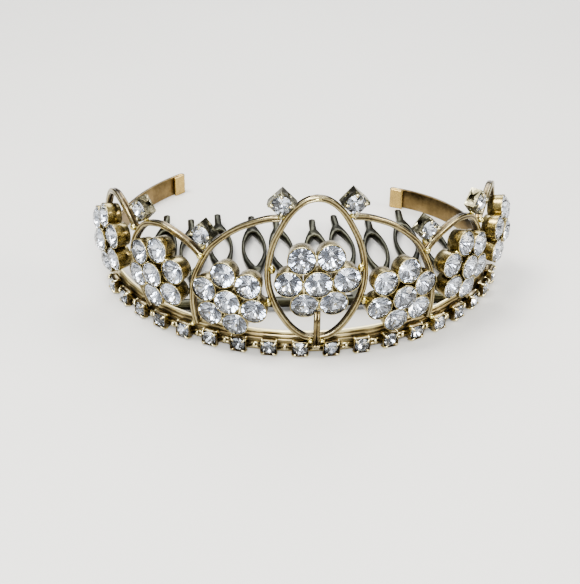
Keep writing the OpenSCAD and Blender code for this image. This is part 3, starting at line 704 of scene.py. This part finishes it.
class TIARA_OT_flowers(bpy.types.Operator):
    """Seven flowers of seven soldered cups and their stones"""
    bl_idname = "tiara.flowers"
    bl_label = "Flowers"

    def execute(self, context):
        s = context.scene.tiara_sizes
        for name, angle, height, turn in FLOWERS:
            centre = name == "centre"
            ring = s.centre_ring if centre else s.side_ring
            base = stand(s, angle, height * MM, s.flower_out)
            rim, rim_wall = ring / 2 - 0.02 * MM, 0.45 * s.cup_wall
            back = rim - s.cup_depth * math.sin(math.radians(s.ring_tilt)) / 2
            profile, wear = cup_profile(rim, back, rim_wall, s.cup_depth, 0.84 * s.cup_depth)
            for side in (("",) if centre else SIDES):
                rng = np.random.default_rng([len(name), int(angle * 10), len(side)])
                cups, stones = Shape(), Shape()
                for spot in flower_spots(s, ring, turn):
                    revolve(cups, profile, base @ spot, 48, wear)
                    seat = base @ spot @ Matrix.Translation((0, 0, 0.005 * ring)) @ wobble(rng, 0.04)
                    cut_stone(stones, 2 * (rim - rim_wall - s.gap), 0.14 * ring, 0.38 * ring, seat, rng)
                # Solder between the ring's cups, and smaller drops between them and the middle cup
                for k in range(6):
                    between, spoke = math.radians(turn + 60 * k + 30), math.radians(turn + 60 * k)
                    far, near = ring * math.cos(math.radians(30)), ring / 2
                    wide = 0.85 * rng.uniform(0.6, 1.15) * MM
                    blob(cups, (far * math.cos(between), far * math.sin(between), -1.0 * MM),
                        (wide, wide, 1.1 * MM), base, slot=1)
                    blob(cups, (near * math.cos(spoke), near * math.sin(spoke), -0.7 * MM),
                        (0.45 * MM, 0.45 * MM, 0.7 * MM), base, slot=1)
                ending = name if centre else f"{side}_{name}"
                mirror = side == "left"
                piece = cups.build(f"cup_flower_{ending}", [FINISH["cup"], FINISH["solder"]], mirror=mirror)
                settle(piece, "cup_gold", f"flower_cups_{ending}")
                set_stones(stones, f"cut_stones_{ending}", f"flower_stones_{ending}", mirror)
        return {"FINISHED"}


def square_cup(shape, matrix, width, depth, stone_r, rim_r, segments=48):
    """A square setting: rings that go up the outer wall as rounded squares, |x|^p + |y|^p = 1 with p = 7,
    over the rim, and down the hollow, where p falls to 2, so that the seat is round."""
    t = np.arange(segments) * 2 * math.pi / segments
    c, d = np.cos(t), np.sin(t)
    half = width / 2
    wall = 0.98 * half
    # Columns: half width, z, squareness, per-vertex value (painted shade at the back and inside the hollow)
    rings = ((0.02 * half, -depth, 2, 0.1), (0.8 * half, -depth, 4, 0.2), (0.93 * half, -depth * 0.96, 7, 0.3),
        (0.95 * half, -depth * 0.85, 7, 0.35), (0.97 * half, -depth * 0.4, 7, 0.4), (wall, -rim_r, 7, 0.4),
        (wall - 0.3 * rim_r, -0.3 * rim_r, 7, 0.5), (wall - rim_r, 0, 7, 0.4),
        (half - 1.9 * rim_r, -0.4 * rim_r, 5, 0.15), (stone_r, -0.14 * width, 2, 0.05),
        (0.4 * stone_r, -0.7 * depth, 2, 0.0), (0.02 * half, -0.7 * depth, 2, 0.0))
    points, wear = [], []
    for size, z, power, bright in rings:
        x = np.sign(c) * np.abs(c) ** (2 / power) * size
        y = np.sign(d) * np.abs(d) ** (2 / power) * size
        points.append(np.stack([x, y, np.full(segments, z)], 1))
        wear.append(np.full(segments, bright))
    points = transform(matrix, np.vstack(points))
    shape.add(points, tube_faces(len(rings), segments, False), np.array(wear))


def claw(shape, matrix, start, end, radius, wear=0.95):
    """A prong that leans from start over the stone's edge to end, thinning to a round tip."""
    rings, sides = 9, 8
    start, end = np.array(start), np.array(end)
    t = np.linspace(0, 1, rings)[:, None]
    knee = np.array([start[0], start[1], end[2] + 0.1 * MM])
    path = (1 - t) ** 2 * start + 2 * t * (1 - t) * knee + t ** 2 * end
    path = transform(matrix, path)
    turn = np.arange(sides) * 2 * math.pi / sides
    run = np.gradient(path, axis=0)
    run /= np.linalg.norm(run, axis=1, keepdims=True)
    # Any direction will do that no prong runs along
    side = np.cross(run, np.array([0.31, 0.2, 0.93]))
    side /= np.linalg.norm(side, axis=1, keepdims=True)
    other = np.cross(side, run)
    size = radius * np.sqrt(np.clip(1.02 - t ** 4, 0.02, 1))
    ring = side[:, None] * np.cos(turn)[None, :, None] + other[:, None] * np.sin(turn)[None, :, None]
    points = path[:, None] + ring * size[:, None]
    shape.add(points, tube_faces(rings, sides, True), wear)


def four_claws(shape, matrix, stone_r, width, radius, rise, drop):
    """Four prongs at the corners of a square setting of the given width."""
    for k in range(4):
        turned = matrix @ Matrix.Rotation(math.radians(45 + 90 * k), 4, "Z")
        claw(shape, turned, (0.6 * width, 0, -drop), (stone_r * 0.8, 0, rise), radius)


class TIARA_OT_base_row(bpy.types.Operator):
    """Square settings, links and stones of the base row"""
    bl_idname = "tiara.base_row"
    bl_label = "Base row"

    def execute(self, context):
        s = context.scene.tiara_sizes
        metal, stones = Shape(), Shape()
        rng = np.random.default_rng(18)
        pitch = math.degrees(s.base_pitch / s.stone_r)
        r = s.base_stone_d / 2
        for i in range(-BASE_STONES // 2, BASE_STONES // 2):
            here = stand(s, (i + 0.5) * pitch, 0, s.base_rim)
            square_cup(metal, here, s.base_box, s.base_box_depth, r + s.gap, 0.12 * MM)
            four_claws(metal, here, r, s.base_box, 0.36 * MM, 0.5 * MM, 1.2 * MM)
            seat = here @ Matrix.Translation((0, 0, -0.03 * s.base_stone_d)) @ wobble(rng, 0.12)
            cut_stone(stones, s.base_stone_d + 0.08 * MM, 0.18 * s.base_stone_d, 0.3 * s.base_stone_d,
                seat, rng, 0.5, 0.0, 3.0)
            if i + 1 < BASE_STONES // 2:
                link = stand(s, (i + 1) * pitch, 0, s.base_rim - 0.6 * s.base_box_depth)
                for up in (-0.55, 0.55):
                    bar = link @ Matrix.Translation((0, up * MM, 0)) @ Matrix.Rotation(math.pi / 2, 4, "Y")
                    half, thin = (s.base_pitch - s.base_box) / 2 + 0.1 * MM, 0.34 * MM
                    rod = np.array([[0, -half], [thin, -half], [thin, half], [0, half]])
                    revolve(metal, rod, bar, 12, (0.5, 0.7, 0.7, 0.5))
                blob(metal, (0, 0, 0.2 * MM), (0.55 * MM, 0.8 * MM, 0.6 * MM), link)
        settle(metal.build("square_settings", [FINISH["setting"]]), "setting_gold", "base_settings")
        set_stones(stones, "small_stones", "base_stones")
        return {"FINISHED"}


def softened_copy(name, new_name, material, width, segments=2):
    """A merged copy of a CAD node whose sharp edges are rounded over by a bevel of that width."""
    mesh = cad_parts[name].data.copy()
    mesh.name = new_name
    piece = bpy.data.objects.new(new_name, mesh)
    bpy.context.scene.collection.objects.link(piece)
    weld = piece.modifiers.new("weld", "WELD")
    weld.merge_threshold = 0.002 * MM
    bevel = piece.modifiers.new("bevel", "BEVEL")
    bevel.width = width
    bevel.segments = segments
    bevel.limit_method = "ANGLE"
    bevel.angle_limit = math.radians(35)
    # Drops the slivers that the bevel leaves where it meets itself
    again = piece.modifiers.new("clean", "WELD")
    again.merge_threshold = 0.004 * MM
    mesh.materials.clear()
    mesh.materials.append(material)
    mesh.polygons.foreach_set("use_smooth", np.full(len(mesh.polygons), True))
    normal = piece.modifiers.new("even normals", "WEIGHTED_NORMAL")
    normal.keep_sharp = True
    return piece


class TIARA_OT_crest(bpy.types.Operator):
    """Six crest settings with their prongs and stones"""
    bl_idname = "tiara.crest"
    bl_label = "Crest"

    def execute(self, context):
        s = context.scene.tiara_sizes
        r = s.crest_stone_d / 2
        for row, (angle, height) in enumerate(CRESTS):
            for side in SIDES:
                ending = f"{side}_{row + 1}"
                rng = np.random.default_rng([row, len(side)])
                turned = stand(s, angle, height * MM, s.crest_out) @ Matrix.Rotation(math.pi / 4, 4, "Z")
                claws, stone = Shape(), Shape()
                four_claws(claws, turned, r, s.crest_box, 0.4 * MM, 0.75 * MM, 1.6 * MM)
                # The girdle lies on the rim, so the stone covers it almost to the box's edge
                cut_stone(stone, s.crest_stone_d + 0.4 * MM, 0.17 * s.crest_stone_d, 0.3 * s.crest_stone_d,
                    turned @ Matrix.Translation((0, 0, 0.05 * s.crest_stone_d)), rng, 0.5, -0.1, 3.0)
                box = softened_copy(f"crest_setting_{ending}", f"crest_box_{ending}", FINISH["silver"], 0.14 * MM)
                settle(box, "crest_silver", f"crest_setting_{ending}")
                piece = claws.build(f"crest_claws_{ending}", [FINISH["setting"]], mirror=side == "left")
                settle(piece, "crest_silver")
                set_stones(stone, f"crest_cut_{ending}", f"crest_stone_{ending}", side == "left")
        return {"FINISHED"}


class TIARA_OT_comb(bpy.types.Operator):
    """Comb with softened edges"""
    bl_idname = "tiara.comb"
    bl_label = "Comb"

    def execute(self, context):
        settle(softened_copy("comb", "plated_comb", FINISH["comb"], 0.3 * MM, 3), "comb_metal", "comb")
        return {"FINISHED"}


class TIARA_OT_joints(bpy.types.Operator):
    """Centre post with its balls, and the drops of solder where wires, cups and settings meet"""
    bl_idname = "tiara.joints"
    bl_label = "Post and solder"

    def execute(self, context):
        s = context.scene.tiara_sizes
        low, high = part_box("centre_post")
        y, foot = (low.y + high.y) / 2, low.z + s.post_ball_r
        post = Shape()
        for side in (-1, 1):
            x = side * ((high.x - low.x) / 2 - s.post_ball_r)
            head = high.z + s.post_reach
            rod = np.array([[0, foot], [s.post_r, foot], [s.post_r * 1.04, (foot + head) / 2],
                [s.post_r * 0.94, head], [0, head]])
            revolve(post, rod, Matrix.Translation((x, y, 0)), 20, (0.3, 0.5, 0.7, 0.6, 0.5))
            blob(post, (x, y, foot), (s.post_ball_r,) * 3, Matrix.Identity(4), 1.0, 20)
        settle(post.build("post_wires", [FINISH["wire"]]), "wire_gold", "centre_post")
        drops = Shape()
        for angle, height, out, across, up in SOLDER:
            for side in ((1,) if angle == 0 else (1, -1)):
                here = stand(s, side * angle, height * MM, out * MM)
                blob(drops, (0, 0, 0), (across * MM, up * MM, 0.8 * MM), here, 0.8, 18)
        settle(drops.build("solder_drops", [FINISH["solder"]]), "cup_gold")
        return {"FINISHED"}


def aim(place, target):
    """Matrix of a light or camera at place that looks at target."""
    place, target = Vector(place), Vector(target)
    return Matrix.Translation(place) @ (target - place).to_track_quat("-Z", "Y").to_matrix().to_4x4()


def soft_light(name, place, target, size, power, tint):
    """A square softbox."""
    light = bpy.data.lights.new(name, "AREA")
    light.size = size
    light.energy = power
    light.color = tint
    lamp = bpy.data.objects.new(name, light)
    lamp.matrix_world = aim(place, target)
    bpy.context.scene.collection.objects.link(lamp)


class TIARA_OT_stage(bpy.types.Operator):
    """Pale floor, soft studio light and the camera"""
    bl_idname = "tiara.stage"
    bl_label = "Stage"

    def execute(self, context):
        scene = context.scene
        s, c = scene.tiara_sizes, scene.tiara_colours
        mesh = bpy.data.meshes.new("floor")
        far = 3.0
        mesh.from_pydata([(-far, -far, 0), (far, -far, 0), (far, far, 0), (-far, far, 0)], [], [(0, 1, 2, 3)])
        floor = bpy.data.objects.new("floor", mesh)
        material, tree, output = start_material("matt_pale_floor")
        place = node(tree, "ShaderNodeTexCoord").outputs["Object"]
        cloud = node(tree, "ShaderNodeTexNoise", {"Vector": place}, Scale=8.0, Detail=2.0)
        tone = ramp(tree, cloud.outputs["Fac"], ((0.3, tuple(0.97 * v for v in c.floor)), (0.7, tuple(c.floor))))
        shader = node(tree, "ShaderNodeBsdfPrincipled", {"Base_Color": tone.outputs["Color"]}, Roughness=0.75)
        tree.links.new(shader.outputs[0], output.inputs["Surface"])
        mesh.materials.append(material)
        scene.collection.objects.link(floor)

        world = bpy.data.worlds.new("studio")
        world.use_nodes = True
        sky = world.node_tree
        sky.nodes.clear()
        out = sky.nodes.new("ShaderNodeOutputWorld")
        # A little uneven, for the metal to reflect
        way = node(sky, "ShaderNodeTexCoord").outputs["Generated"]
        patch = node(sky, "ShaderNodeTexNoise", {"Vector": way}, Scale=1.6, Detail=1.0)
        up = node(sky, "ShaderNodeSeparateXYZ", {0: way}).outputs["Z"]
        uneven = node(sky, "ShaderNodeMath", {0: patch.outputs["Fac"], 2: up}, operation="MULTIPLY_ADD")
        uneven.inputs[1].default_value = 0.6
        tone = ramp(sky, uneven.outputs[0], [(stop, linear(code)) for stop, code in SKY])
        light = node(sky, "ShaderNodeBackground", {"Color": tone.outputs["Color"]}, Strength=1.1)
        sky.links.new(light.outputs[0], out.inputs["Surface"])
        scene.world = world
        scene.view_settings.look = "AgX - Medium High Contrast"
        for name, place, size, power, tint in LIGHTS:
            soft_light(name, place, LIT_POINT, size, power, linear(tint))

        camera = bpy.data.cameras.new("camera")
        camera.lens = 72.53
        camera.sensor_width = 36
        camera.clip_start = 0.01
        holder = bpy.data.objects.new("camera", camera)
        turn = Matrix((Vector(CAMERA_RIGHT), -Vector(CAMERA_DOWN), -Vector(CAMERA_FORWARD))).transposed().to_4x4()
        spot = Vector(CAMERA_PLACE) * MM + Vector((0, axis_y(s), 0))
        spot.z += s.stone_z
        holder.matrix_world = Matrix.Translation(spot) @ turn
        scene.collection.objects.link(holder)
        scene.camera = holder
        return {"FINISHED"}


STEPS = ("finishes", "band", "wires", "flowers", "base_row", "crest", "comb", "joints", "stage")


class TIARA_PT_panel(bpy.types.Panel):
    """Lists the tiara's steps"""
    bl_idname = "TIARA_PT_panel"
    bl_label = "Tiara comb"
    bl_space_type = "VIEW_3D"
    bl_region_type = "UI"
    bl_category = "Tiara"

    def draw(self, context):
        for step in STEPS:
            self.layout.operator(f"tiara.{step}")
        for group in (context.scene.tiara_sizes, context.scene.tiara_colours):
            for key in group.__annotations__:
                self.layout.prop(group, key)


CLASSES = (TiaraSizes, TiaraColours, TIARA_OT_finishes, TIARA_OT_band, TIARA_OT_wires, TIARA_OT_flowers,
    TIARA_OT_base_row, TIARA_OT_crest, TIARA_OT_comb, TIARA_OT_joints, TIARA_OT_stage, TIARA_PT_panel)


def register():
    for item in CLASSES:
        bpy.utils.register_class(item)
    bpy.types.Scene.tiara_sizes = PointerProperty(type=TiaraSizes)
    bpy.types.Scene.tiara_colours = PointerProperty(type=TiaraColours)


def unregister():
    del bpy.types.Scene.tiara_colours
    del bpy.types.Scene.tiara_sizes
    for item in reversed(CLASSES):
        bpy.utils.unregister_class(item)


def main():
    register()
    for step in STEPS:
        getattr(bpy.ops.tiara, step)()


if __name__ == "__main__":
    main()
